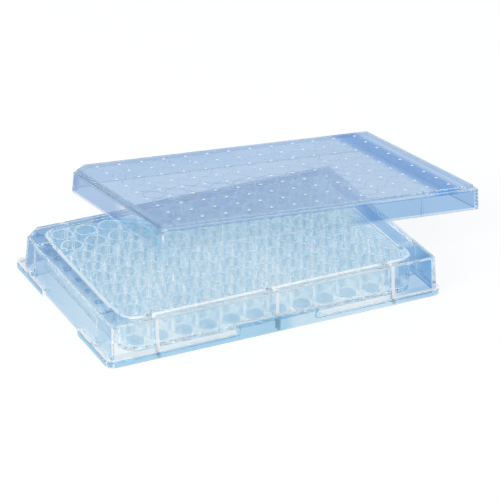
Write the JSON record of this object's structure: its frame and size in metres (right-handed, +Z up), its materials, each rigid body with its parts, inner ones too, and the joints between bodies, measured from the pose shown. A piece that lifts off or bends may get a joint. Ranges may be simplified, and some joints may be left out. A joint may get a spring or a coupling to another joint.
{
  "type": "well plate",
  "caption": "Clear plastic multi-well plate with a raised rim, a stepped foot and one cut corner, with its shallow lid lying askew on it.",
  "frame": {"origin": "on the bench, in the middle of the area that the plate and its lid cover together", "axes": "+X along the plate's columns 1 to 12, +Y from row H to row A, +Z up"},
  "size_m": [0.1614, 0.1174, 0.0302],
  "materials": {
    "clear_plate": "clear polystyrene, gloss",
    "clear_lid": "clear polystyrene, gloss"
  },
  "bodies": {
    "root": {"well_plate": "clear_plate", "lid": "clear_lid"}
  },
  "joints": []
}
